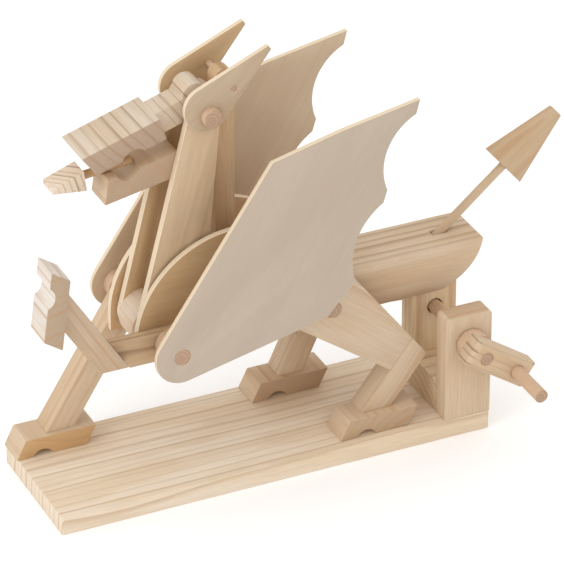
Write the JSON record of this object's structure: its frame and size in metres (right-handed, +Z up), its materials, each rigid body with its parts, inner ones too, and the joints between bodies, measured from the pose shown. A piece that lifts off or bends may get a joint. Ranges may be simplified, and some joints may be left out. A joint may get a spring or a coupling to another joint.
{
  "type": "wooden crank automaton",
  "caption": "Wooden dragon on a base board; turning the hand crank at its rear rocks the neck, opens the mouth and beats the wings.",
  "frame": {"origin": "centre of the base board's underside", "axes": "+Z up, X along the board with the dragon's head towards -X, crank handle towards -Y"},
  "size_m": [0.3399, 0.1465, 0.2652],
  "materials": {
    "pine": "bare, sanded",
    "plywood": "bare, sanded",
    "beech_dowel": "bare"
  },
  "bodies": {
    "frame": {"base_board": "pine", "crank_post": "pine", "main_post": "pine", "spacer_block": "pine", "body_bar": "pine", "cheek_near": "plywood", "cheek_far": "plywood", "link_foot_pin": "beech_dowel", "chest_rail": "pine", "near_rear_foot": "pine", "far_rear_foot": "pine", "far_front_foot": "pine", "near_shin": "pine", "far_shin": "pine", "near_thigh": "pine", "far_thigh": "pine", "near_hip_dowel": "beech_dowel", "far_hip_dowel": "beech_dowel", "far_front_leg": "pine", "raised_paw": "pine", "raised_leg": "pine", "tail_pin": "beech_dowel"},
    "crank": {"crank_arm": "pine", "crank_shaft": "beech_dowel", "crank_collar": "beech_dowel", "crank_handle": "beech_dowel", "crank_disc": "plywood", "crank_pin": "beech_dowel"},
    "neck": {"wing_near": "plywood", "wing_far": "plywood", "wing_axle": "beech_dowel", "wing_collar_near": "beech_dowel", "wing_collar_far": "beech_dowel", "neck_plate_near": "plywood", "neck_plate_far": "plywood", "neck_hub": "pine", "drive_pin": "beech_dowel", "lower_jaw": "pine", "tongue_rod": "beech_dowel", "tongue_tip": "pine"},
    "head": {"ear_near": "plywood", "ear_far": "plywood", "head_dowel": "beech_dowel", "head_collar": "beech_dowel", "ear_pin": "beech_dowel", "upper_jaw": "pine"},
    "head_link": {"head_link": "pine"},
    "rod": {"connecting_rod": "plywood"},
    "tail": {"tail_rod": "beech_dowel", "tail_barb": "pine"}
  },
  "joints": [
    {"name": "crank_turn", "type": "hinge", "parent": "frame", "child": "crank", "pos_m": [0.1211, 0, 0.062], "axis": [0, -1, 0], "continuous": true},
    {"name": "neck_rock", "type": "hinge", "parent": "frame", "child": "neck", "pos_m": [-0.0599, 0.0044, 0.0983], "axis": [0, -1, 0], "range_deg": [0, 8]},
    {"name": "head_nod", "type": "hinge", "parent": "neck", "child": "head", "pos_m": [-0.0286, 0.0044, 0.2292], "axis": [0, -1, 0], "range_deg": [-22.8, 0]},
    {"name": "link_rock", "type": "hinge", "parent": "frame", "child": "head_link", "pos_m": [-0.0142, 0.0044, 0.112], "axis": [0, -1, 0], "range_deg": [0, 6.64]},
    {"name": "rod_swing", "type": "hinge", "parent": "neck", "child": "rod", "pos_m": [-0.052, 0.0229, 0.075], "axis": [0, -1, 0], "range_deg": [-8.4, 0]},
    {"name": "tail_lift", "type": "hinge", "parent": "frame", "child": "tail", "pos_m": [0.11561, 0.0044, 0.10339], "axis": [0, -1, 0], "range_deg": [0, 5]}
  ],
  "couplings": [
    {"joint": "head_nod", "follows": "neck_rock", "ratio": -2.85},
    {"joint": "link_rock", "follows": "neck_rock", "ratio": 0.83},
    {"joint": "rod_swing", "follows": "neck_rock", "ratio": -1.05}
  ]
}
